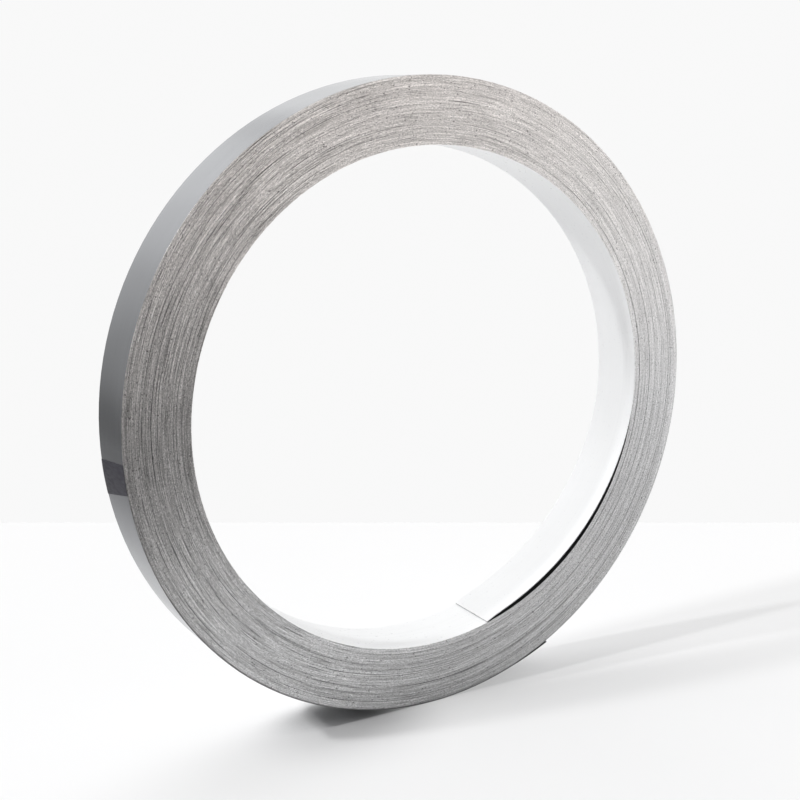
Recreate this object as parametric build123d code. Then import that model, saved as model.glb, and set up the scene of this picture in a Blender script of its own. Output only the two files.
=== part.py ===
from build123d import *
import math
import os
from itertools import cycle

# Aluminium channel letter coil: one long flat strip wound on itself, standing on its rim.
# Millimetres. The coil's axis is Y, its front end looks along -Y and Z is up.
# Angles are seen from the front, from +X towards +Z. The strip winds outwards as they grow.

# The strip and its winding
STRIP_WIDTH = 50.0
STRIP_THICKNESS = 0.7
TURN_GAP = 0.06
TURNS = 70
BORE_DIAMETER = 406.0

# Outer free end: the springy last stretch lifts off the turn below, up to its cut edge.
# The gap under it is open from where it reaches the root gap.
TAIL_ANGLE = -62.2
TAIL_LENGTH = 60.0
TAIL_LIFT = 1.0
TAIL_ROOT_GAP = 0.2

# Inner free end: the first turn stands loose in an arch, with an open crescent behind it
INNER_END_ANGLE = -73.8
INNER_END_CONTACT = 5.0
ARCH_LENGTH = 210.0
ARCH_GAP = 3.6

# The turns lie in bands that have slipped along the axis, counted from the outside
BAND_TURNS = (4, 7, 3, 6, 5)
BAND_SHIFTS = (0.0, -0.3, 0.1, 0.3, -0.15, 0.2, -0.2)

# Dark adhesive tape across the outer face
TAPE_ANGLE = -173.1
TAPE_WIDTH = 25.0
TAPE_THICKNESS = 0.2
TAPE_SKEW = 10.0

turn_pitch = STRIP_THICKNESS + TURN_GAP
bore_radius = BORE_DIAMETER / 2
outer_radius = bore_radius + TURNS * turn_pitch
half_width = STRIP_WIDTH / 2
full_turn = 360.0
half_turn = full_turn / 2
trim_allowance = 5.0


def polar(radius, angle, centre=Vector(0, 0)):
    """Point at a radius and an angle in degrees from a centre."""
    turn = math.radians(angle)
    return centre + Vector(radius * math.cos(turn), radius * math.sin(turn))


def direction(vector):
    """Angle in degrees that a vector points along."""
    return math.degrees(math.atan2(vector.Y, vector.X))


def degrees_of_arc(length, radius):
    """Angle that a length takes up along a circle."""
    return math.degrees(length / radius)


def spiral_halves(start_radius, step_angle):
    """Centres and radii of the two half circles that grow by one pitch in a turn from a step."""
    offset = turn_pitch / 4
    first = (polar(-offset, step_angle), start_radius + offset)
    second = (polar(offset, step_angle), start_radius + 3 * offset)
    return first, second


def section(*edges):
    """Closed outline across the coil's axis, as a face in the XZ plane."""
    return Plane.XZ * make_face(edges)


def across_strip(face, width):
    """Solid of a section, centred on the strip's width."""
    return extrude(face, amount=width / 2, both=True)


def turn_bands():
    """Outer radius, inner radius and shift along the axis of each band, from the outside in."""
    bands = []
    turns_left = TURNS
    for turns, shift in zip(cycle(BAND_TURNS), cycle(BAND_SHIFTS)):
        taken = min(turns, turns_left)
        outside = bore_radius + turns_left * turn_pitch
        turns_left -= taken
        bands.append((outside, bore_radius + turns_left * turn_pitch, shift))
        if turns_left == 0:
            return bands


def turned_blank():
    """Turned ring with the stepped bands on its ends, with metal to trim inside and outside."""
    bands = turn_bands()
    front = []
    back = []
    for index, (outside, inside, shift) in enumerate(bands):
        high = outside + (trim_allowance if index == 0 else 0)
        low = inside - (trim_allowance if index == len(bands) - 1 else 0)
        front += [(high, shift - half_width), (low, shift - half_width)]
        back += [(high, shift + half_width), (low, shift + half_width)]
    profile = make_face(Polyline(*front, *reversed(back), close=True))
    return revolve(profile, Axis.Y)


def outer_outline():
    """Face of the whole winding: the last turn climbs over the one below and ends in the tail."""
    halves = spiral_halves(outer_radius - turn_pitch, TAIL_ANGLE)
    (first_centre, first_radius), (last_centre, last_radius) = halves
    lift_off_angle = TAIL_ANGLE - degrees_of_arc(TAIL_LENGTH, outer_radius)
    lift_off = polar(last_radius, lift_off_angle, last_centre)
    chord = polar(outer_radius + TAIL_LIFT, TAIL_ANGLE) - lift_off
    inward = polar(-1, lift_off_angle)
    tail_radius = chord.length**2 / (2 * chord.dot(inward))
    tail_centre = lift_off + inward * tail_radius
    tip_angle = lift_off_angle + 2 * math.degrees(math.asin(chord.length / (2 * tail_radius)))

    under_radius = tail_radius - STRIP_THICKNESS
    closed_length = TAIL_LENGTH * math.sqrt(TAIL_ROOT_GAP / TAIL_LIFT)
    under_angle = lift_off_angle + degrees_of_arc(closed_length, tail_radius)
    root = polar(under_radius, under_angle, tail_centre)
    root_angle = direction(root - first_centre)

    seam_angle = TAIL_ANGLE + half_turn
    return section(
        CenterArc(first_centre, first_radius, root_angle, seam_angle - root_angle),
        CenterArc(last_centre, last_radius, seam_angle, lift_off_angle + full_turn - seam_angle),
        CenterArc(tail_centre, tail_radius, lift_off_angle, tip_angle - lift_off_angle),
        Line(polar(tail_radius, tip_angle, tail_centre), polar(under_radius, tip_angle, tail_centre)),
        CenterArc(tail_centre, under_radius, under_angle, tip_angle - under_angle),
        Line(root, polar(first_radius, root_angle, first_centre)),
    )


def bore_outline():
    """Face of the open middle, with the step of the strip's inner cut end."""
    (first_centre, first_radius), (last_centre, last_radius) = spiral_halves(bore_radius, INNER_END_ANGLE)
    first_half = CenterArc(first_centre, first_radius, INNER_END_ANGLE, half_turn)
    last_half = CenterArc(last_centre, last_radius, INNER_END_ANGLE + half_turn, half_turn)
    cut_end = Line(polar(bore_radius + turn_pitch, INNER_END_ANGLE), polar(bore_radius, INNER_END_ANGLE))
    return section(first_half, last_half, cut_end)


def arch_crescent():
    """Face of the gap between the loose first turn and the second one."""
    (centre, face_radius), _ = spiral_halves(bore_radius, INNER_END_ANGLE)
    back_radius = face_radius + STRIP_THICKNESS
    start = INNER_END_ANGLE + degrees_of_arc(INNER_END_CONTACT, bore_radius)
    sweep = degrees_of_arc(ARCH_LENGTH, bore_radius)
    start_point = polar(back_radius, start, centre)
    end_point = polar(back_radius, start + sweep, centre)
    crown = polar(back_radius + ARCH_GAP, start + sweep / 2, centre)
    strip_side = CenterArc(centre, back_radius, start, sweep)
    coil_side = ThreePointArc(end_point, crown, start_point)
    return section(strip_side, coil_side)


def strip_coil():
    """The wound strip as one turned solid, trimmed to its spiral outside and inside."""
    through = 2 * STRIP_WIDTH
    coil = turned_blank() & across_strip(outer_outline(), through)
    coil -= across_strip(bore_outline(), through)
    return coil - across_strip(arch_crescent(), through)


def closing_tape():
    """Straight piece of tape laid a little askew over the last turn, cut off at both edges."""
    _, (centre, seat_radius) = spiral_halves(outer_radius - turn_pitch, TAIL_ANGLE)
    sweep = 2 * degrees_of_arc(TAPE_WIDTH + STRIP_WIDTH, seat_radius)
    start = TAPE_ANGLE - sweep / 2
    top_radius = seat_radius + TAPE_THICKNESS
    layer = section(
        CenterArc(centre, seat_radius, start, sweep),
        Line(polar(seat_radius, start + sweep, centre), polar(top_radius, start + sweep, centre)),
        CenterArc(centre, top_radius, start, sweep),
        Line(polar(top_radius, start, centre), polar(seat_radius, start, centre)),
    )
    middle = polar(seat_radius, TAPE_ANGLE, centre)
    outward = polar(1, TAPE_ANGLE)
    laid_flat = Plane(
        origin=(middle.X, 0, middle.Y),
        x_dir=(0, 1, 0),
        z_dir=(outward.X, 0, outward.Y),
    )
    piece = laid_flat * (Rot(0, 0, TAPE_SKEW) * Rectangle(2 * STRIP_WIDTH, TAPE_WIDTH))
    return across_strip(layer, STRIP_WIDTH) & extrude(piece, amount=TAPE_WIDTH, both=True)


pieces = {
    "strip_coil": strip_coil(),
    "closing_tape": closing_tape(),
}

os.makedirs("parts", exist_ok=True)
for name, shape in pieces.items():
    export_step(shape, f"parts/{name}.step")
    size = shape.bounding_box().size
    print(f"{name}: {shape.volume:.0f} mm3, {size.X:.1f} x {size.Y:.1f} x {size.Z:.1f} mm")
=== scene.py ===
import logging
import math
from dataclasses import dataclass, field
from enum import IntEnum
from functools import partial, reduce

import bmesh
import bpy
import numpy as np
from mathutils import Matrix, Vector

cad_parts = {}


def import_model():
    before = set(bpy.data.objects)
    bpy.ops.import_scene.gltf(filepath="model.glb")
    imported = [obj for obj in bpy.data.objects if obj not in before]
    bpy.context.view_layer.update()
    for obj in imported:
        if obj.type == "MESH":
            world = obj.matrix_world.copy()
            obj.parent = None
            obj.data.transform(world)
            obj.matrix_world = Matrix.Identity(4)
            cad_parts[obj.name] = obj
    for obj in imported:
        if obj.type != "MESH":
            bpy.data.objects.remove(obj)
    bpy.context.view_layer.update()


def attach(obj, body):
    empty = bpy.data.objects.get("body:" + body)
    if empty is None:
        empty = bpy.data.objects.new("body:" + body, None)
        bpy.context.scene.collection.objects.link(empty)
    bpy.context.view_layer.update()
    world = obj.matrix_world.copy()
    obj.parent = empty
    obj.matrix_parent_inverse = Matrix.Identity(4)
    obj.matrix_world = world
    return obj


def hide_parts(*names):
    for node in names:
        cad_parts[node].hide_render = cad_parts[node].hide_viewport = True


# Aluminium channel letter coil: one long strip wound on itself, standing on its rim.
# Metres. The coil's axis is Y, its front end looks along -Y and Z is up. Angles are seen
# from the front, from +X towards +Z, and the strip winds outwards as they grow.

MM = 0.001
FULL_TURN = 2 * math.pi

# Names of the strip's two maps: its own, which the finishes read, and the one of the export
STRIP_MAP = "strip"
EXPORT_MAP = "OFBake"

# Most of a noise's values lie in this range
NOISE_RANGE = (0.3, 0.7)
WHITE = (1.0, 1.0, 1.0, 1.0)

# The camera looks this many degrees from +Y towards +X, and the floor is turned with it
HEADING = 30.298

# A range is a pair of values at two ends. A ramp is two values of a pattern, and then the
# results at each of them.
Range = tuple[float, float]
Triple = tuple[float, float, float]
Ramp = tuple[float, float, float, float]
Socket = bpy.types.NodeSocket

log = logging.getLogger("coil")


class Axis(IntEnum):
    """Columns of a vertex table."""

    X = 0
    Y = 1
    Z = 2


class StripFace(IntEnum):
    """The strip's surfaces, in the order of its material slots."""

    EDGE = 0
    OUTER = 1
    INNER = 2
    HIDDEN = 3


class Graph:
    """A node tree with short calls to add nodes and to feed their inputs."""

    def __init__(self, tree: bpy.types.NodeTree) -> None:
        """Start from the emptied tree of a material or a world."""
        self.tree = tree
        tree.nodes.clear()

    def feed(self, node: bpy.types.Node, key: str | int, value: object) -> None:
        """Set an input to a value, or link it if the value is another node's output.

        Args:
            node: The node that has the input.
            key: The input's name or number.
            value: A number, a colour, a vector or an output socket.
        """
        if isinstance(value, Socket):
            self.tree.links.new(value, node.inputs[key])
        else:
            node.inputs[key].default_value = value

    def add(self, kind: str, inputs: dict | None = None, **settings: object) -> bpy.types.Node:
        """Add a node.

        Args:
            kind: Blender's name of the node type.
            inputs: Values or sockets by input name or number.
            settings: The node's own properties.

        Returns:
            The new node.
        """
        node = self.tree.nodes.new(kind)
        for name, setting in settings.items():
            setattr(node, name, setting)
        for key, value in (inputs or {}).items():
            self.feed(node, key, value)
        return node

    def math(self, operation: str, *values: object) -> Socket:
        """Return the result of a Math node on numbers or sockets."""
        node = self.add("ShaderNodeMath", dict(enumerate(values)), operation=operation)
        return node.outputs[0]

    def product(self, *values: object) -> Socket:
        """Return the product of numbers or sockets."""
        return reduce(partial(self.math, "MULTIPLY"), values)

    def total(self, *values: object) -> Socket:
        """Return the sum of numbers or sockets."""
        return reduce(partial(self.math, "ADD"), values)

    def vector(self, operation: str, *values: object, output: str = "Vector") -> Socket:
        """Return a result of a Vector Math node on vectors or sockets."""
        node = self.add("ShaderNodeVectorMath", dict(enumerate(values)), operation=operation)
        return node.outputs[output]

    def measure(self, operation: str, *values: object) -> Socket:
        """Return the number that a Vector Math node gives, such as a length."""
        return self.vector(operation, *values, output="Value")

    def scaled(self, vector: object, factor: object) -> Socket:
        """Return a vector times a number."""
        node = self.add("ShaderNodeVectorMath", {0: vector, "Scale": factor}, operation="SCALE")
        return node.outputs["Vector"]

    def parts(self, vector: object) -> tuple[Socket, Socket, Socket]:
        """Return a vector's X, Y and Z."""
        return tuple(self.add("ShaderNodeSeparateXYZ", {0: vector}).outputs)

    def span(
        self, value: object, low: float, high: float, start: float, end: float, smooth: bool = False
    ) -> Socket:
        """Map a range of values onto another, held at both ends.

        Args:
            value: The number to map.
            low: Value that gives start.
            high: Value that gives end.
            start: Result at low.
            end: Result at high.
            smooth: Ease in and out instead of running straight.

        Returns:
            The mapped number.
        """
        inputs = {"Value": value, "From Min": low, "From Max": high, "To Min": start, "To Max": end}
        kind = "SMOOTHSTEP" if smooth else "LINEAR"
        return self.add("ShaderNodeMapRange", inputs, interpolation_type=kind).outputs["Result"]

    def varied(self, noise: Socket, low: float, high: float) -> Socket:
        """Return a noise mapped from its usual range onto another."""
        return self.span(noise, *NOISE_RANGE, low, high)

    def noise(
        self, vector: object, scale: float = 1.0, detail: float = 2.0, roughness: float = 0.5
    ) -> Socket:
        """Return the value of a noise texture, about 0.5 on average."""
        inputs = {"Vector": vector, "Scale": scale, "Detail": detail, "Roughness": roughness}
        return self.add("ShaderNodeTexNoise", inputs).outputs["Fac"]

    def blend(self, factor: Socket, first: Triple, second: Triple) -> Socket:
        """Return the mix of two colours."""
        inputs = {"Factor": factor, 6: (*first, 1.0), 7: (*second, 1.0)}
        return self.add("ShaderNodeMix", inputs, data_type="RGBA").outputs[2]

    def bump(self, height: Socket, strength: float, distance: float) -> Socket:
        """Return the normal of a surface that a height from 0 to 1 raises by a distance."""
        inputs = {"Strength": strength, "Distance": distance, "Height": height}
        return self.add("ShaderNodeBump", inputs).outputs[0]

    def coordinates(self, kind: str = "Object") -> Socket:
        """Return one kind of texture coordinates."""
        return self.add("ShaderNodeTexCoord").outputs[kind]

    def towards(self, direction: Triple) -> Socket:
        """Return how far a place lies from the coil's centre along a direction."""
        return self.measure("DOT_PRODUCT", self.coordinates(), direction)

    def strip_map(self) -> Socket:
        """Return metres along the strip and across the surface, from the strip's own map."""
        return self.add("ShaderNodeUVMap", uv_map=STRIP_MAP).outputs["UV"]

    def strip_noise(self, grid: Triple, detail: float = 2.0, roughness: float = 0.5) -> Socket:
        """Return a noise on the strip's own map. The grid gives its units in a metre."""
        place = self.vector("MULTIPLY", self.strip_map(), grid)
        return self.noise(place, detail=detail, roughness=roughness)

    def around_axis(self, along: float, across: float, between_ends: float) -> Socket:
        """Work out coordinates that follow the turns, with no seam where a turn closes.

        Args:
            along: Pattern units in a radian round the coil.
            across: Pattern units in a metre from turn to turn.
            between_ends: Pattern units in a metre along the axis.

        Returns:
            A vector for a 3D texture.
        """
        place = self.coordinates()
        flat = self.vector("MULTIPLY", place, (1.0, 0.0, 1.0))
        outward = self.scaled(self.vector("NORMALIZE", flat), along)
        radius = self.math("MULTIPLY", self.measure("LENGTH", flat), across)
        depth = self.parts(place)[Axis.Y]
        lift = self.math("ADD", radius, self.math("MULTIPLY", depth, between_ends))
        axial = self.add("ShaderNodeCombineXYZ", {"Y": lift}).outputs[0]
        return self.vector("ADD", outward, axial)

    def turn_noise(self, grid: Triple, detail: float = 2.0, roughness: float = 0.5) -> Socket:
        """Return a noise that follows the turns. The grid gives around_axis its units."""
        return self.noise(self.around_axis(*grid), detail=detail, roughness=roughness)

    def patch(self, ray: Socket, direction: Triple, reach: Range, level: float) -> Socket:
        """Light a round patch of the room.

        Args:
            ray: The direction that is looked at.
            direction: The direction of the patch's middle.
            reach: Degrees from the middle at which the patch begins and is at its full level.
            level: Its brightness.

        Returns:
            The patch's light in the direction that is looked at.
        """
        edge, core = (math.cos(math.radians(angle)) for angle in reach)
        near = self.measure("DOT_PRODUCT", ray, direction)
        return self.span(near, edge, core, 0.0, level, smooth=True)

    def principled(self, inputs: dict) -> None:
        """Make a Principled shader with these inputs the material's surface."""
        self.finish(self.add("ShaderNodeBsdfPrincipled", inputs))

    def mix(self, factor: Socket, first: bpy.types.Node, second: bpy.types.Node) -> bpy.types.Node:
        """Return a mix of two shaders."""
        inputs = {0: factor, 1: first.outputs[0], 2: second.outputs[0]}
        return self.add("ShaderNodeMixShader", inputs)

    def finish(self, shader: bpy.types.Node, output: str = "ShaderNodeOutputMaterial") -> None:
        """Send a shader to the tree's output."""
        self.add(output, {"Surface": shader.outputs[0]})


class Finish:
    """A surface's finish, which builds its own material.

    Its grids give the units of a pattern in a metre, its tones are factors on the tint, and
    its relief is a bump's strength and height.
    """

    NAME = "finish"

    def dress(self, g: Graph) -> None:
        """Add the finish's nodes.

        Args:
            g: The graph of its material.
        """
        raise NotImplementedError

    def material(self) -> bpy.types.Material:
        """Build the material.

        Returns:
            The new material.
        """
        material = bpy.data.materials.new(self.NAME)
        material.use_nodes = True
        self.dress(Graph(material.node_tree))
        return material


@dataclass(frozen=True)
class SlitEdgeFinish(Finish):
    """The strip's slit edges side by side: grey sheared aluminium with streaks along the turns.

    The upper part of the coil's ends is painted warmer, as warm light falling on it, and painted
    shade makes the left side darker with stronger streak contrast and the right side lighter. The
    last stretch of the strip is painted dark as shade up to its free end, and the turn below where
    that shade starts has a fainter painted shade.
    """

    NAME = "slit_edges"

    strip_length: float
    turn_length: float
    thickness: float
    tint: Triple = (0.648, 0.646, 0.648)
    streak_grid: Triple = (120.0, 1700.0, 900.0)
    streak_tone: Range = (0.83, 1.17)
    turn_grid: Triple = (6.0, 0.0, 0.0)
    turn_tone: Range = (0.88, 1.12)
    burr_grid: Triple = (34.0, 0.0, 0.0)
    burr_tone: Range = (0.82, 1.18)
    line_grid: Triple = (6.0, 1500.0, 900.0)
    bright_line: Ramp = (0.6, 0.74, 1.0, 1.14)
    dark_line: Ramp = (0.4, 0.26, 1.0, 0.62)
    scratch_grid: Triple = (2.6, 1000.0, 500.0)
    scratch: Ramp = (0.26, 0.18, 1.0, 0.7)
    band_grid: Triple = (1.6, 210.0, 90.0)
    band_tone: Range = (0.95, 1.05)
    grain_scale: float = 1000.0
    grain_tone: Range = (0.74, 1.26)
    speck_grid: Triple = (150.0, 900.0, 500.0)
    speck: Ramp = (0.72, 0.8, 1.0, 0.36)
    # Painted shade: the left side darker with stronger streak contrast, the right side lighter and
    # flatter
    painted_shade_side: Triple = (0.99, 0.0, -0.1)
    painted_shade_reach: Range = (-0.23, 0.23)
    painted_shade_contrast: Range = (1.85, 0.68)
    painted_shade_tone: Range = (0.94, 1.04)
    # Painted warm light: the upper part of the coil's ends is tinted warmer
    painted_warm_light_tint: Triple = (0.662, 0.626, 0.604)
    painted_warm_light_side: Triple = (-0.34, 0.0, 0.94)
    painted_warm_light_reach: Range = (-0.1, 0.24)
    # Painted shade on the strip's last stretch at the bottom of the coil, fainter on the turn
    # below, darkest at the free end
    tail_shade_reach: Range = (0.30, 0.44)
    tail_shade_level: float = 0.22
    below_shade_reach: Range = (0.12, 0.24)
    below_shade_level: float = 0.6
    tip_shade_reach: Range = (0.024, 0.030)
    tip_shade_level: float = 0.3
    roughness: float = 0.34
    streak_roughness: Range = (0.06, -0.06)
    torn_from: Range = (0.45, 0.55)
    torn_roughness: float = 0.1
    anisotropy: float = 0.7
    spread_across: float = 0.25
    relief: Range = (0.6, 0.12 * MM)

    def worn_and_shaded_tone(self, g: Graph, streaks: Socket, grain: Socket) -> Socket:
        """Work out the tone that shearing and wear give the metal, with painted shade by side.

        Args:
            g: The material's graph.
            streaks: The noise of the short streaks.
            grain: The noise of the grain.

        Returns:
            The tone, with painted shade: darker and with more contrast at the left, lighter and
                with less at the right.
        """
        lines = g.turn_noise(self.line_grid, detail=1.0)
        tone = g.product(
            g.varied(streaks, *self.streak_tone),
            g.varied(g.strip_noise(self.turn_grid), *self.turn_tone),
            g.varied(g.strip_noise(self.burr_grid, roughness=0.6), *self.burr_tone),
            g.span(lines, *self.bright_line, smooth=True),
            g.span(lines, *self.dark_line, smooth=True),
            g.span(g.turn_noise(self.scratch_grid, detail=0.0), *self.scratch, smooth=True),
            g.varied(g.turn_noise(self.band_grid), *self.band_tone),
        )
        # Painted shade: darker with more streak contrast towards the left, lighter towards the
        # right
        shade_side = g.towards(self.painted_shade_side)
        contrast = g.span(shade_side, *self.painted_shade_reach, *self.painted_shade_contrast)
        return g.product(
            g.math("MULTIPLY_ADD", g.math("SUBTRACT", tone, 1.0), contrast, 1.0),
            g.span(shade_side, *self.painted_shade_reach, *self.painted_shade_tone),
            g.varied(grain, *self.grain_tone),
            g.span(g.turn_noise(self.speck_grid, detail=0.0), *self.speck, smooth=True),
        )

    def painted_tail_shade(self, g: Graph, along: Socket) -> Socket:
        """Work out the painted shade on the last stretch of the strip, darkest at its free end.

        Args:
            g: The material's graph.
            along: Metres along the strip.

        Returns:
            The tone, which is 1 where there is no painted shade.
        """
        left = g.math("SUBTRACT", self.strip_length, along)
        middle_below = self.turn_length + self.tail_shade_reach[0] / 2
        below = g.math("ABSOLUTE", g.math("SUBTRACT", left, middle_below))
        # Painted shade: the last stretch, the turn below it and the free end are darkened
        return g.product(
            g.span(left, *self.tail_shade_reach, self.tail_shade_level, 1.0, smooth=True),
            g.span(below, *self.below_shade_reach, self.below_shade_level, 1.0, smooth=True),
            g.span(left, *self.tip_shade_reach, self.tip_shade_level, 1.0, smooth=True),
        )

    def dress(self, g: Graph) -> None:
        """Add the finish's nodes.

        Args:
            g: The graph of its material.
        """
        along, across, _ = g.parts(g.strip_map())
        streaks = g.turn_noise(self.streak_grid, roughness=0.65)
        grain = g.noise(g.coordinates(), scale=self.grain_scale, roughness=0.6)
        tone = g.product(self.worn_and_shaded_tone(g, streaks, grain), self.painted_tail_shade(g, along))
        # Painted warm light: the ends are tinted warmer towards the top, slightly to the left
        warm_light = g.span(g.towards(self.painted_warm_light_side), *self.painted_warm_light_reach, 0.0, 1.0)
        tint = g.blend(warm_light, self.tint, self.painted_warm_light_tint)
        sheared, torn = (share * self.thickness for share in self.torn_from)
        rough = g.total(
            self.roughness,
            g.span(across, sheared, torn, 0.0, self.torn_roughness),
            g.varied(streaks, *self.streak_roughness),
        )
        tangent = g.add("ShaderNodeTangent", direction_type="UV_MAP", uv_map=STRIP_MAP)
        g.principled(
            {
                "Base Color": g.scaled(tint, tone),
                "Metallic": 1.0,
                "Roughness": rough,
                "Anisotropic": self.anisotropy,
                "Anisotropic Rotation": self.spread_across,
                "Normal": g.bump(g.total(streaks, grain), *self.relief),
                "Tangent": tangent.outputs[0],
            }
        )


@dataclass(frozen=True)
class BrightFaceFinish(Finish):
    """The strip's outer face: smooth bare aluminium with fine rolling lines along it."""

    NAME = "bright_rolled_face"

    tint: Triple = (0.44, 0.45, 0.47)
    line_grid: Triple = (3.0, 1400.0, 0.0)
    line_tone: Range = (0.94, 1.03)
    wide_grid: Triple = (1.5, 160.0, 0.0)
    wide_tone: Range = (0.97, 1.02)
    roughness: float = 0.13
    line_roughness: Range = (-0.03, 0.05)
    cloud_scale: float = 26.0
    cloud_roughness: Ramp = (0.35, 0.7, -0.02, 0.05)
    relief: Range = (0.12, 0.05 * MM)

    def dress(self, g: Graph) -> None:
        """Add the finish's nodes.

        Args:
            g: The graph of its material.
        """
        lines = g.strip_noise(self.line_grid, detail=3.0, roughness=0.6)
        wide = g.strip_noise(self.wide_grid)
        cloud = g.noise(g.coordinates(), scale=self.cloud_scale, detail=3.0)
        tone = g.product(g.varied(lines, *self.line_tone), g.varied(wide, *self.wide_tone))
        rough = g.total(
            self.roughness,
            g.varied(lines, *self.line_roughness),
            g.span(cloud, *self.cloud_roughness),
        )
        g.principled(
            {
                "Base Color": g.scaled(self.tint, tone),
                "Metallic": 1.0,
                "Roughness": rough,
                "Normal": g.bump(lines, *self.relief),
            }
        )


@dataclass(frozen=True)
class WhiteCoatFinish(Finish):
    """The strip's inner face: white baked coating, slightly uneven as sprayed paint is."""

    NAME = "white_coating"

    tint: Triple = (0.89, 0.895, 0.9)
    tone: Range = (0.985, 1.01)
    peel_scale: float = 420.0
    cloud_scale: float = 18.0
    line_grid: Triple = (2.0, 500.0, 0.0)
    roughness: Range = (0.27, 0.39)
    relief: Range = (0.08, 0.08 * MM)

    def dress(self, g: Graph) -> None:
        """Add the finish's nodes.

        Args:
            g: The graph of its material.
        """
        peel = g.noise(g.coordinates(), scale=self.peel_scale)
        cloud = g.noise(g.coordinates(), scale=self.cloud_scale, detail=3.0)
        lines = g.strip_noise(self.line_grid)
        tone = g.product(g.varied(cloud, *self.tone), g.varied(lines, *self.tone))
        g.principled(
            {
                "Base Color": g.scaled(self.tint, tone),
                "Roughness": g.varied(peel, *self.roughness),
                "Normal": g.bump(peel, *self.relief),
            }
        )


@dataclass(frozen=True)
class ShadedBetweenTurnsFinish(Finish):
    """The faces that lie shut between the turns: dull, and painted dark as the shade in the gaps
    between the turns.
    """

    NAME = "between_turns_painted_shade"

    # Painted shade: a near-black tint stands in for the shade in the gap by the loose first turn
    tint: Triple = (0.06, 0.06, 0.062)
    tone: Range = (0.8, 1.2)
    cloud_scale: float = 60.0
    roughness: Range = (0.5, 0.7)

    def dress(self, g: Graph) -> None:
        """Add the finish's nodes.

        Args:
            g: The graph of its material.
        """
        cloud = g.noise(g.coordinates(), scale=self.cloud_scale, detail=3.0)
        g.principled(
            {
                "Base Color": g.scaled(self.tint, g.varied(cloud, *self.tone)),
                "Roughness": g.varied(cloud, *self.roughness),
            }
        )


@dataclass(frozen=True)
class TapeFinish(Finish):
    """Dark plastic tape with a soft gloss and fine stretch lines."""

    NAME = "dark_tape"

    tint: Triple = (0.025, 0.024, 0.034)
    tone: Range = (0.85, 1.15)
    stretch_grid: Triple = (900.0, 120.0, 900.0)
    cloud_scale: float = 90.0
    roughness: Range = (0.28, 0.44)
    gloss: float = 0.32
    relief: Range = (0.2, 0.08 * MM)

    def dress(self, g: Graph) -> None:
        """Add the finish's nodes.

        Args:
            g: The graph of its material.
        """
        stretch = g.noise(g.vector("MULTIPLY", g.coordinates(), self.stretch_grid))
        cloud = g.noise(g.coordinates(), scale=self.cloud_scale)
        g.principled(
            {
                "Base Color": g.scaled(self.tint, g.varied(cloud, *self.tone)),
                "Roughness": g.varied(stretch, *self.roughness),
                "Specular IOR Level": self.gloss,
                "Normal": g.bump(stretch, *self.relief),
            }
        )


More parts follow.
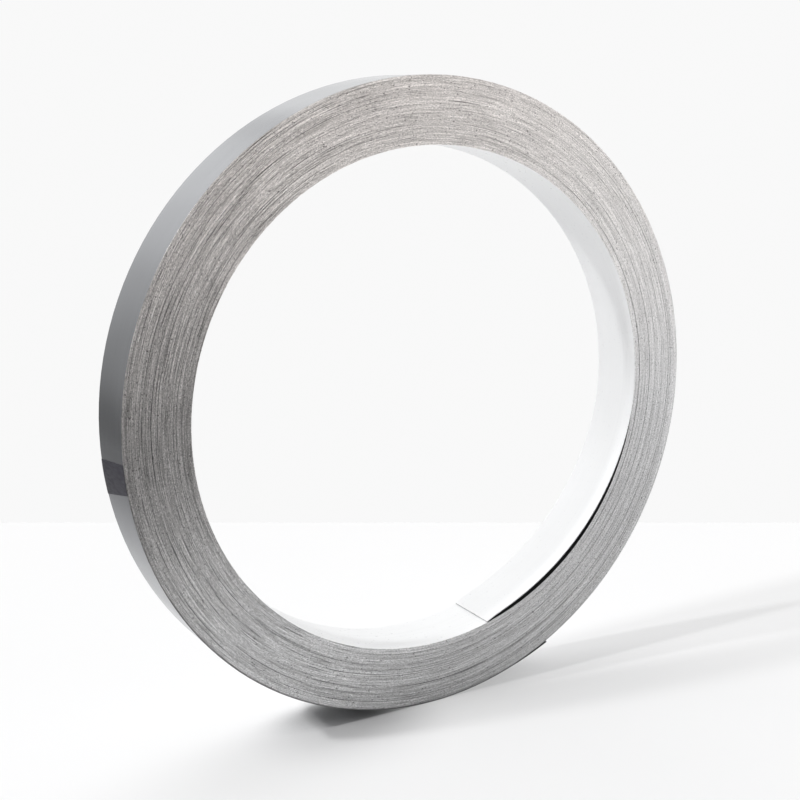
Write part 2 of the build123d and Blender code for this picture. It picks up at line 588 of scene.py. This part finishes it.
@dataclass
class Winding:
    """How the strip lies in the coil: radius and slip along the axis, by turns from its inner end.

    The coil isn't round: at the right the turns lie tight and the bore is wider, and round the
    rest of it there are thin gaps between them. Waves are pairs of a spread and of the degrees
    round the coil between independent values.
    """

    thickness: float = 0.69 * MM
    bore_radius: float = 203.0 * MM
    inner_end: float = -73.8
    outer_end: float = -62.2
    whole_turns: int = 69
    slack: float = 4.75 * MM
    gap_waves: tuple[Range, ...] = ((0.5, 50.0), (0.65, 17.0))
    bulge: float = 4.4 * MM
    bulge_angle: float = -1.5
    bulge_reach: float = 100.0
    arch_sweep: float = 66.0
    arch_tip_gap: float = 0.3 * MM
    arch_rise: float = 9.6 * MM
    arch_growth: float = 0.5
    tail_length: float = 60.0 * MM
    tail_lift: float = 1.2 * MM
    band_turns: tuple[int, ...] = (4, 7, 3, 6, 5)
    band_shifts: tuple[float, ...] = (0.0, -0.22, 0.08, 0.22, -0.12, 0.15, -0.15)
    band_waves: tuple[Range, ...] = ((0.12, 40.0),)
    slopes_in_turn: int = 6
    slip_waves: tuple[Range, ...] = ((0.045 * MM, 300.0), (0.03 * MM, 25.0))
    slip_limit: float = 0.28 * MM
    samples: int = 360
    seed: int = 11
    turns: float = field(init=False)
    count: int = field(init=False)
    along: np.ndarray = field(init=False)
    rng: np.random.Generator = field(init=False)
    radii: np.ndarray = field(init=False)
    slips: np.ndarray = field(init=False)

    def __post_init__(self) -> None:
        """Work out the tables of radius and slip along the strip."""
        self.turns = self.whole_turns + (self.outer_end - self.inner_end) / 360
        self.count = int(math.ceil(self.turns * self.samples)) + 1
        self.along = np.arange(self.count) / self.samples
        self.rng = np.random.default_rng(self.seed)
        self.radii = self.radius_table()
        self.slips = self.slip_table()

    def wander(self, period: float) -> np.ndarray:
        """Draw smooth random numbers along the strip, with a spread of about one.

        Args:
            period: Degrees round the coil between independent values.

        Returns:
            One value for each sample.
        """
        knots = np.arange(0, self.turns * 360 + 2 * period, period)
        values = self.rng.standard_normal(len(knots))
        at = self.along * 360 / period
        low = np.floor(at).astype(int)
        part = at - low
        ease = part * part * (3 - 2 * part)
        return values[low] * (1 - ease) + values[low + 1] * ease

    def waver(self, waves: tuple[Range, ...]) -> np.ndarray:
        """Return the sum of random waves, one value for each sample."""
        return sum(spread * self.wander(period) for spread, period in waves)

    def bore_bulge(self) -> np.ndarray:
        """Work out how far the bore reaches past a circle.

        Returns:
            One value for each sample of the first turn.
        """
        angle = self.inner_end + 360 * np.arange(self.samples) / self.samples
        away = (angle - self.bulge_angle + 180) % 360 - 180
        share = np.clip(90 * away / self.bulge_reach, -90, 90)
        return np.cos(np.radians(share)) ** 2 * self.bulge

    def turn_gaps(self, bulge: np.ndarray) -> np.ndarray:
        """Share out the coil's slack among its turns, where the bulge leaves any.

        Args:
            bulge: How far the bore reaches past a circle, all the way round.

        Returns:
            The gap below each sample of the strip.
        """
        loose = np.exp(self.waver(self.gap_waves))
        loose[: self.samples] = 0
        loose *= np.clip(self.along - 1, 0, 1) * np.clip(self.turns - self.along, 0, 1)
        places = np.arange(self.count) % self.samples
        shared = np.bincount(places, loose, self.samples)
        return loose / shared[places] * (self.slack - bulge)[places]

    def raise_ends(self, radii: np.ndarray) -> None:
        """Lift the strip's two free ends off the turns next to them.

        Args:
            radii: The radius at each sample, which is changed in place.
        """
        one = self.samples
        part = self.along[:one] * 360 / self.arch_sweep
        rise = self.arch_tip_gap + self.arch_rise * part**self.arch_growth
        arch = radii[one : 2 * one] - self.thickness - np.clip(1 - part, 0, 1) * rise
        radii[:one] = np.where(part < 1, arch, radii[:one])
        left = (self.turns - self.along) * FULL_TURN * radii[-1]
        radii += self.tail_lift * np.clip(1 - left / self.tail_length, 0, 1) ** 2

    def radius_table(self) -> np.ndarray:
        """Work out the radius of the strip's inner face.

        Returns:
            One radius for each sample, from the inner end.
        """
        one = self.samples
        bulge = self.bore_bulge()
        gaps = self.turn_gaps(bulge)
        radii = np.empty(self.count)
        radii[:one] = self.bore_radius + bulge + self.thickness * np.arange(one) / one
        for start in range(one, self.count, one):
            end = min(start + one, self.count)
            below = radii[start - one : end - one]
            radii[start:end] = below + self.thickness + gaps[start:end]
        self.raise_ends(radii)
        return radii

    def slip_table(self) -> np.ndarray:
        """Work out how far the strip has slipped along the coil's axis, band by band.

        Returns:
            One slip for each sample, from the inner end.
        """
        slips = np.zeros(self.count)
        from_outside = self.turns - self.along + self.waver(self.band_waves)
        first, index = 0, 0
        while first < self.turns + 1:
            inside = (from_outside >= first) | (index == 0)
            slips[inside] = self.band_shifts[index % len(self.band_shifts)] * MM
            first += self.band_turns[index % len(self.band_turns)]
            index += 1
        width = self.samples // self.slopes_in_turn
        padded = np.pad(slips, width, mode="edge")
        slips = np.convolve(padded, np.ones(width) / width, "same")[width:-width]
        slips += self.waver(self.slip_waves)
        return np.clip(slips, -self.slip_limit, self.slip_limit)

    def radius(self, turn: np.ndarray | float) -> np.ndarray:
        """Return the inner face's radius at places given in turns from the inner end."""
        return np.interp(turn, self.along, self.radii)

    def slip(self, turn: np.ndarray | float) -> np.ndarray:
        """Return the slip along the axis at places given in turns from the inner end."""
        return np.interp(turn, self.along, self.slips)

    def angle(self, turn: np.ndarray | float) -> np.ndarray:
        """Return the angle in radians at places given in turns from the inner end."""
        return math.radians(self.inner_end) + FULL_TURN * turn

    def last_turn(self, angle: np.ndarray | float) -> np.ndarray:
        """Return the turns from the inner end to the outermost turn at an angle in degrees."""
        return self.turns - ((self.outer_end - angle) % 360) / 360


def read_table(
    items: bpy.types.bpy_prop_collection, name: str, kind: type, width: int = 1
) -> np.ndarray:
    """Read one property of a mesh's vertices, corners or faces.

    Args:
        items: The parts of the mesh.
        name: The property.
        kind: The type of its numbers.
        width: How many numbers it has.

    Returns:
        One value or one row for each part.
    """
    flat = np.empty(width * len(items), kind)
    items.foreach_get(name, flat)
    return flat.reshape(-1, width) if width > 1 else flat


def vertex_table(mesh: bpy.types.Mesh) -> np.ndarray:
    """Return a mesh's vertex coordinates, one row for each vertex."""
    return read_table(mesh.vertices, "co", float, 3)


def place_round_coil(
    mesh: bpy.types.Mesh, radius: np.ndarray, angle: np.ndarray, depth: np.ndarray
) -> None:
    """Move a mesh's vertices to places round the coil.

    Args:
        mesh: The mesh to change.
        radius: Each vertex's distance from the axis.
        angle: Its angle in radians.
        depth: Its place along the axis.
    """
    table = np.stack([radius * np.cos(angle), depth, radius * np.sin(angle)], 1)
    mesh.vertices.foreach_set("co", table.ravel())
    mesh.update()


def recalculate(mesh: bpy.types.Mesh) -> None:
    """Make a closed mesh's faces point outwards.

    Args:
        mesh: The mesh to change.
    """
    bm = bmesh.new()
    bm.from_mesh(mesh)
    bmesh.ops.recalc_face_normals(bm, faces=bm.faces)
    bm.to_mesh(mesh)
    bm.free()


def add_to_scene(name: str, data: bpy.types.ID) -> bpy.types.Object:
    """Put a mesh, a lamp or a camera into the scene.

    Args:
        name: The new object's name.
        data: What it shows.

    Returns:
        The new object.
    """
    thing = bpy.data.objects.new(name, data)
    bpy.context.scene.collection.objects.link(thing)
    return thing


@dataclass
class FaceTable:
    """The faces of a mesh and their corners as tables, to lay out maps with."""

    mesh: bpy.types.Mesh
    sizes: np.ndarray = field(init=False)
    normals: np.ndarray = field(init=False)
    surfaces: np.ndarray = field(init=False)
    corners: np.ndarray = field(init=False)

    def __post_init__(self) -> None:
        """Read the mesh."""
        self.sizes = read_table(self.mesh.polygons, "loop_total", int)
        self.normals = read_table(self.mesh.polygons, "normal", float, 3)
        self.surfaces = read_table(self.mesh.polygons, "material_index", int)
        vertices = read_table(self.mesh.loops, "vertex_index", int)
        self.corners = vertex_table(self.mesh)[vertices]

    def on(self, surface: StripFace) -> np.ndarray:
        """Tell for each face whether it belongs to a surface."""
        return self.surfaces == surface

    def at_corners(self, values: np.ndarray) -> np.ndarray:
        """Repeat one value for each face at the face's corners."""
        return np.repeat(values, self.sizes)

    def mean(self, values: np.ndarray) -> np.ndarray:
        """Return each face's mean of the values at its corners."""
        first = np.cumsum(self.sizes) - self.sizes
        return np.add.reduceat(values, first) / self.sizes

    def add_map(self, name: str, right: np.ndarray, up: np.ndarray) -> None:
        """Give the mesh a map from each corner's place on it."""
        layer = self.mesh.uv_layers.new(name=name)
        layer.uv.foreach_set("vector", np.stack([right, up], 1).ravel())


@dataclass
class WoundStrip:
    """The coil itself: a straight strip with broken edges, wound up by moving its vertices.

    The row fields lay out the map of the export: how many parts of a turn are stacked, how high
    the rows of the ends, of the bare faces and of the hidden faces are, and the margin and the
    used share of a row's height and of the map's width.
    """

    winding: Winding
    width: float = 50.0 * MM
    chamfer: float = 0.07 * MM
    blocks: int = 70
    cuts: int = 141
    broad: float = 0.9
    upright: float = 0.5
    shown_turns: float = 1.01
    sharp_angle: float = 20.0
    row_parts: int = 3
    row_heights: Triple = (0.097, 0.055, 0.04)
    row_fill: Range = (0.06, 0.88)
    row_span: Range = (0.012, 0.95)
    cut_end_span: float = 0.01

    @property
    def length(self) -> float:
        """Length of the strip on its map, as if every turn were as short as the first."""
        return self.winding.turns * FULL_TURN * self.winding.bore_radius

    @staticmethod
    def long_edges(bm: bmesh.types.BMesh) -> list[bmesh.types.BMEdge]:
        """Return the edges that run along the strip."""
        return [e for e in bm.edges if abs(e.verts[0].co.x - e.verts[1].co.x) > 1e-6]

    def surface(self, face: bmesh.types.BMFace) -> StripFace:
        """Tell which of the strip's surfaces a face of the flat strip belongs to.

        Args:
            face: A face of the strip before it is wound.

        Returns:
            The surface. Only the first turn's inner and the last turn's outer face show.
        """
        if abs(face.normal.z) < self.broad:
            return StripFace.EDGE
        turn = face.calc_center_median().x * self.winding.turns
        if face.normal.z > 0:
            shown = turn > self.winding.turns - self.shown_turns
            return StripFace.OUTER if shown else StripFace.HIDDEN
        return StripFace.INNER if turn < 1 else StripFace.HIDDEN

    def straight_strip(self) -> bpy.types.Mesh:
        """Make the strip flat, one unit long in X, with its outer face up.

        Returns:
            The mesh, with its faces assigned to the strip's surfaces.
        """
        bm = bmesh.new()
        bmesh.ops.create_cube(bm, size=1.0)
        bmesh.ops.translate(bm, verts=bm.verts, vec=(0.5, 0.0, 0.5))
        bmesh.ops.scale(bm, verts=bm.verts, vec=(1.0, self.width, self.winding.thickness))
        bmesh.ops.bevel(
            bm,
            geom=self.long_edges(bm),
            affect="EDGES",
            offset=self.chamfer,
            segments=1,
            profile=0.5,
            material=-1,
        )
        for cuts in (self.blocks - 1, self.cuts):
            bmesh.ops.subdivide_edges(bm, edges=self.long_edges(bm), cuts=cuts, use_grid_fill=True)
        bm.normal_update()
        for face in bm.faces:
            face.smooth = abs(face.normal.x) < self.upright
            face.material_index = self.surface(face)
        mesh = bpy.data.meshes.new("wound_strip")
        bm.to_mesh(mesh)
        bm.free()
        return mesh

    def lay_out(self, faces: FaceTable) -> None:
        """Give the flat strip its own map: metres along it, and metres across each surface.

        Args:
            faces: The flat strip's faces.
        """
        is_edge = faces.at_corners(faces.on(StripFace.EDGE))
        across = np.where(is_edge, faces.corners[:, Axis.Z], faces.corners[:, Axis.Y])
        faces.add_map(STRIP_MAP, faces.corners[:, Axis.X] * self.length, across)

    def map_rows(self, faces: FaceTable, part: np.ndarray, back: np.ndarray) -> np.ndarray:
        """Choose each face's row on the export's map.

        The front end comes first, then the back end, the outer and the inner face, each with
        one row for each part of a turn. The hidden faces have one row for each side.

        Args:
            faces: The flat strip's faces.
            part: Which part of its turn each face lies in.
            back: Whether it lies nearer the coil's back end.

        Returns:
            One row number for each face.
        """
        parts = self.row_parts
        kinds = [faces.on(kind) for kind in (StripFace.HIDDEN, StripFace.EDGE, StripFace.OUTER)]
        upward = faces.normals[:, Axis.Z] > 0
        rows = [4 * parts + upward, parts * back + part, 2 * parts + part]
        return np.select(kinds, rows, 3 * parts + part).astype(int)

    def lay_out_rows(self, faces: FaceTable) -> None:
        """Give the flat strip the map of the export, on which the surfaces that show lie largest.

        Args:
            faces: The flat strip's faces.
        """
        parts = self.row_parts
        turn = faces.corners[:, Axis.X] * self.winding.turns
        depth = faces.corners[:, Axis.Y] / self.width + 0.5
        radius = self.winding.radius(turn) + faces.corners[:, Axis.Z]
        reach = (radius - radius.min()) / np.ptp(radius)
        middle = faces.mean(turn)
        whole = np.floor(middle)
        part = np.floor((middle - whole) * parts)
        hidden = faces.on(StripFace.HIDDEN)

        start = whole + np.where(hidden, 0.0, part / parts)
        right = (turn - faces.at_corners(start)) * faces.at_corners(np.where(hidden, 1.0, parts))
        right += self.cut_end_span * depth * faces.at_corners(faces.normals[:, Axis.X])

        stacked = (faces.at_corners(whole) + depth) / (self.winding.whole_turns + 1)
        shown = np.where(faces.at_corners(faces.on(StripFace.EDGE)), reach, depth)
        up = np.where(faces.at_corners(hidden), stacked, shown)
        row = self.map_rows(faces, part, faces.mean(depth) > 0.5)
        heights = np.repeat(self.row_heights, (2 * parts, 2 * parts, 2))
        bottoms = np.cumsum(heights) - heights
        margin, filled = self.row_fill
        height = faces.at_corners(heights[row])
        up = faces.at_corners(bottoms[row]) + height * (margin + filled * up)
        margin, filled = self.row_span
        faces.add_map(EXPORT_MAP, margin + filled * right, up)

    def wind(self, mesh: bpy.types.Mesh) -> None:
        """Wind the flat strip up.

        Args:
            mesh: The flat strip.
        """
        flat = vertex_table(mesh)
        turn = flat[:, Axis.X] * self.winding.turns
        radius = self.winding.radius(turn) + flat[:, Axis.Z]
        depth = flat[:, Axis.Y] + self.winding.slip(turn)
        place_round_coil(mesh, radius, self.winding.angle(turn), depth)

    def build(self) -> bpy.types.Object:
        """Make the wound strip and dress it.

        Returns:
            The finished piece.
        """
        mesh = self.straight_strip()
        faces = FaceTable(mesh)
        self.lay_out(faces)
        self.lay_out_rows(faces)
        self.wind(mesh)
        recalculate(mesh)
        mesh.set_sharp_from_angle(angle=math.radians(self.sharp_angle))
        turn_length = self.length / self.winding.turns
        edges = SlitEdgeFinish(self.length, turn_length, self.winding.thickness)
        for finish in (edges, BrightFaceFinish(), WhiteCoatFinish(), ShadedBetweenTurnsFinish()):
            mesh.materials.append(finish.material())
        piece = add_to_scene("wound_strip", mesh)
        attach(piece, "root")
        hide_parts("strip_coil")
        log.info("wound_strip: %d faces, %.2f turns", len(mesh.polygons), self.winding.turns)
        return piece


@dataclass
class ClosingTape:
    """A short piece of tape over the outermost turn, from one end of the coil to the other.

    Its wrinkles are the product of two waves. A wave has a factor on the share of the way
    across the tape, one on the share of the way to the back end, and a phase.
    """

    winding: Winding
    width: float = 50.0 * MM
    thickness: float = 0.17 * MM
    stand_off: float = 0.01 * MM
    front_angles: Range = (-176.7, -171.5)
    back_angles: Range = (-175.2, -169.0)
    steps: tuple[int, int] = (28, 18)
    wrinkle: float = 0.05 * MM
    wrinkle_waves: tuple[Triple, Triple] = ((9.0, 4.0, 0.0), (0.0, 7.0, 1.3))
    sharp_angle: float = 40.0

    def lay_over_coil(self, mesh: bpy.types.Mesh) -> None:
        """Move the flat tape's vertices onto the outermost turn.

        Args:
            mesh: The flat tape.
        """
        flat = vertex_table(mesh)
        back = flat[:, Axis.Y] + 0.5
        share = flat[:, Axis.X] + 0.5
        ends = [f + (b - f) * back for f, b in zip(self.front_angles, self.back_angles)]
        degrees = ends[0] + (ends[1] - ends[0]) * share
        turn = self.winding.last_turn(degrees)
        face = self.winding.radius(turn) + self.winding.thickness
        first, second = (np.sin(a * share + b * back + c) for a, b, c in self.wrinkle_waves)
        ripple = self.wrinkle * (0.5 + 0.5 * first * second)
        radius = face + self.stand_off + flat[:, Axis.Z] * self.thickness + ripple
        depth = (back - 0.5) * self.width + self.winding.slip(turn)
        place_round_coil(mesh, radius, np.radians(degrees), depth)

    def build(self) -> bpy.types.Object:
        """Make the tape and dress it.

        Returns:
            The finished piece.
        """
        bm = bmesh.new()
        across, along = self.steps
        bmesh.ops.create_grid(bm, x_segments=along, y_segments=across, size=0.5)
        top = bmesh.ops.extrude_face_region(bm, geom=bm.faces[:])["geom"]
        raised = [v for v in top if isinstance(v, bmesh.types.BMVert)]
        bmesh.ops.translate(bm, verts=raised, vec=(0.0, 0.0, 1.0))
        for face in bm.faces:
            face.smooth = True
        mesh = bpy.data.meshes.new("closing_tape_skin")
        bm.to_mesh(mesh)
        bm.free()
        self.lay_over_coil(mesh)
        recalculate(mesh)
        mesh.set_sharp_from_angle(angle=math.radians(self.sharp_angle))
        mesh.materials.append(TapeFinish().material())
        piece = add_to_scene("closing_tape_skin", mesh)
        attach(piece, "root")
        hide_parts("closing_tape")
        log.info("closing_tape_skin: %d faces", len(mesh.polygons))
        return piece


@dataclass(frozen=True)
class StudioView:
    """The camera, where the photograph was taken from."""

    place: Triple = (-0.5573, -0.9294, 0.2449)
    heading: float = HEADING
    dip: float = 12.802
    lens: float = 61.605
    sensor: float = 36.0
    clip: Range = (0.01, 50.0)

    def build(self) -> None:
        """Create the scene's camera."""
        data = bpy.data.cameras.new("photo_view")
        data.lens, data.sensor_width = self.lens, self.sensor
        data.clip_start, data.clip_end = self.clip
        camera = add_to_scene("photo_view", data)
        camera.location = self.place
        camera.rotation_euler = (math.radians(90 - self.dip), 0.0, -math.radians(self.heading))
        bpy.context.scene.camera = camera
        log.info("photo_view: %.1f mm lens", self.lens)


def toward(azimuth: float, elevation: float) -> Triple:
    """Return the unit vector of a direction in degrees. Azimuth runs from +Y towards +X."""
    a, e = math.radians(azimuth), math.radians(elevation)
    return (math.sin(a) * math.cos(e), math.cos(a) * math.cos(e), math.sin(e))


@dataclass(frozen=True)
class Softlight:
    """A far studio lamp, which looks as wide as an angle and lights the floor evenly.

    Its light is what a white surface that faces it sends back.
    """

    name: str
    azimuth: float
    elevation: float
    angle: float
    light: float

    def build(self) -> None:
        """Create the lamp."""
        data = bpy.data.lights.new(self.name, "SUN")
        data.angle = math.radians(self.angle)
        data.energy = self.light * math.pi
        lamp = add_to_scene(self.name, data)
        aim = Vector(toward(self.azimuth, self.elevation))
        lamp.matrix_world = aim.to_track_quat("Z", "Y").to_matrix().to_4x4()
        log.info("%s: light %.2f", self.name, self.light)


@dataclass(frozen=True)
class PanelRing:
    """Round soft panels of the room at one height, evenly spaced from +Y towards +X."""

    elevation: float
    reach: float
    bright: tuple[float, ...]
    core: float = 5.0

    def light(self, g: Graph, ray: Socket) -> list[Socket]:
        """Return each panel's light in the direction that is looked at."""
        step = 360 / len(self.bright)
        return [
            g.patch(ray, toward(step * k, self.elevation), (self.reach, self.core), level)
            for k, level in enumerate(self.bright)
        ]


@dataclass(frozen=True)
class FloorFinish(Finish):
    """Pale matt floor that keeps the coil's shadow.

    Its colour is painted darker where the coil shuts it in, as contact shade. The camera sees a
    share of plain white on it, which grows with the distance from the glow's centre. Mirrored rays
    see it dimmer at the left and at the front, up to its right, where a dimming below zero makes it
    brighter.
    """

    NAME = "studio_floor"

    tint: Triple = (0.84, 0.84, 0.845)
    tone: Range = (0.995, 1.005)
    cloud_scale: float = 3.0
    contact_reach: float = 0.05
    contact_shut: Range = (0.2, 0.6)
    painted_contact_shade: float = 0.4
    contact_samples: int = 8
    glow: float = 0.45
    glow_level: float = 0.97
    glow_centre: Triple = (-0.08, -0.02, 0.0)
    glow_reach: Range = (0.02, 0.1)
    left_reach: Range = (-0.02, -0.5)
    left_dimming: float = 0.78
    front_reach: Range = (-0.35, -0.65)
    right_reach: Range = (0.2, 0.95)
    front_dimming: Range = (0.95, -0.5)

    def dimming(self, g: Graph) -> Socket:
        """Work out how much dimmer mirrored rays see the floor.

        Args:
            g: The material's graph.

        Returns:
            The share of the floor's light that is taken away.
        """
        x, y, _ = g.parts(g.coordinates())
        left = g.span(x, *self.left_reach, 0.0, self.left_dimming, smooth=True)
        front = g.span(y, *self.front_reach, 0.0, 1.0, smooth=True)
        level = g.span(x, *self.right_reach, *self.front_dimming, smooth=True)
        dimmer = g.math("MAXIMUM", left, g.product(front, level))
        brighter = g.product(front, g.math("MINIMUM", level, 0.0))
        return g.total(dimmer, brighter)

    def dress(self, g: Graph) -> None:
        """Add the finish's nodes.

        Args:
            g: The graph of its material.
        """
        path = g.add("ShaderNodeLightPath").outputs
        cloud = g.noise(g.coordinates(), scale=self.cloud_scale)
        shut_in = g.add(
            "ShaderNodeAmbientOcclusion",
            {"Distance": self.contact_reach},
            samples=self.contact_samples,
        )
        # Painted contact shade: the floor's colour is darkened by how much the coil shuts it in
        level = g.product(
            g.varied(cloud, *self.tone),
            g.math("SUBTRACT", 1.0, g.product(self.dimming(g), path["Is Glossy Ray"])),
            g.span(shut_in.outputs["AO"], *self.contact_shut, self.painted_contact_shade, 1.0),
        )
        matt = g.add("ShaderNodeBsdfDiffuse", {"Color": g.scaled(self.tint, level)})
        white = g.add("ShaderNodeEmission", {"Color": WHITE, "Strength": self.glow_level})
        flat = g.vector("MULTIPLY", g.coordinates(), (1.0, 1.0, 0.0))
        away = g.measure("LENGTH", g.vector("SUBTRACT", flat, self.glow_centre))
        share = g.span(away, *self.glow_reach, 0.0, self.glow, smooth=True)
        g.finish(g.mix(g.product(share, path["Is Camera Ray"]), matt, white))


@dataclass
class Studio:
    """The pale floor, the room with its soft panels, and the lamps.

    The floor reaches to its left, right and front as floor_reach says, and back to the wall.
    """

    floor_level: float
    wall_distance: float = 0.466
    floor_reach: Triple = (1.2, 3.0, 1.6)
    heading: float = HEADING
    backdrop: float = 0.945
    backdrop_side: Range = (50.0, -5.0)
    backdrop_reach: Range = (52.0, 34.0)
    rings: tuple[PanelRing, ...] = (
        PanelRing(
            elevation=-16,
            reach=21,
            bright=(0.30, 0.63, 0.87, 0.79, 0.90, 0.80, 0.50, 0.40, 0.40, 0.50, 1.60, 0.15),
        ),
        PanelRing(
            elevation=8,
            reach=24,
            bright=(0.69, 1.44, 0.91, 0.22, 1.14, 1.50, 0.12, 0.14, 0.50, 0.19, 0.65, 0.38),
        ),
        PanelRing(elevation=36, reach=31, bright=(0.60, 2.30, 0.05, 0.04, 0.18, 0.18, 0.04, 1.41)),
        PanelRing(elevation=66, reach=30, bright=(1.87, 0.04, 0.04, 0.13)),
    )
    lamps: tuple[Softlight, ...] = (
        Softlight(name="side_light", azimuth=-91.2, elevation=40.5, angle=3.0, light=0.32),
        Softlight(name="back_light", azimuth=-78.8, elevation=43.2, angle=3.5, light=0.32),
    )

    def build_world(self) -> None:
        """Surround the object with a dim room that has bright panels in it.

        The camera sees the plain backdrop all round. Mirrored rays see it where it stands
        behind the coil.
        """
        world = bpy.data.worlds.new("studio_room")
        bpy.context.scene.world = world
        world.use_nodes = True
        g = Graph(world.node_tree)
        ray = g.coordinates("Generated")
        panels = [light for ring in self.rings for light in ring.light(g, ray)]
        behind = g.patch(ray, toward(*self.backdrop_side), self.backdrop_reach, 1.0)
        path = g.add("ShaderNodeLightPath").outputs
        mirrored = g.math("MAXIMUM", path["Is Glossy Ray"], path["Is Transmission Ray"])
        seen = g.math("MAXIMUM", path["Is Camera Ray"], g.product(mirrored, behind))
        room = g.add("ShaderNodeBackground", {"Color": WHITE, "Strength": g.total(*panels)})
        plain = g.add("ShaderNodeBackground", {"Color": WHITE, "Strength": self.backdrop})
        g.finish(g.mix(seen, room, plain), "ShaderNodeOutputWorld")
        log.info("studio_room: %d panels", len(panels))

    def build_floor(self) -> None:
        """Make the floor: a table top whose far edge is the faint line behind the coil."""
        bm = bmesh.new()
        bmesh.ops.create_grid(bm, x_segments=1, y_segments=1, size=0.5)
        left, right, front = self.floor_reach
        bmesh.ops.translate(bm, verts=bm.verts, vec=(0.5, -0.5, 0.0))
        bmesh.ops.scale(bm, verts=bm.verts, vec=(left + right, self.wall_distance + front, 1.0))
        bmesh.ops.translate(bm, verts=bm.verts, vec=(-left, self.wall_distance, 0.0))
        turned = Matrix.Rotation(-math.radians(self.heading), 4, "Z")
        bmesh.ops.transform(bm, matrix=turned, verts=bm.verts)
        bmesh.ops.translate(bm, verts=bm.verts, vec=(0.0, 0.0, self.floor_level))
        mesh = bpy.data.meshes.new("floor")
        bm.to_mesh(mesh)
        bm.free()
        mesh.materials.append(FloorFinish().material())
        floor = add_to_scene("floor", mesh)
        log.info("floor: at %.4f", self.floor_level)

    def build(self) -> None:
        """Build the whole studio."""
        self.build_world()
        self.build_floor()
        for lamp in self.lamps:
            lamp.build()


def lowest_point(piece: bpy.types.Object) -> float:
    """Return the height of a piece's lowest vertex."""
    return float(vertex_table(piece.data)[:, Axis.Z].min())


def main() -> None:
    """Build the coil, its studio and its camera."""
    logging.basicConfig(level=logging.INFO, format="%(name)s %(message)s")
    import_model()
    scene = bpy.context.scene
    scene.view_settings.view_transform = "Standard"
    winding = Winding()
    coil = WoundStrip(winding).build()
    ClosingTape(winding).build()
    StudioView().build()
    Studio(floor_level=lowest_point(coil)).build()


if __name__ == "__main__":
    main()
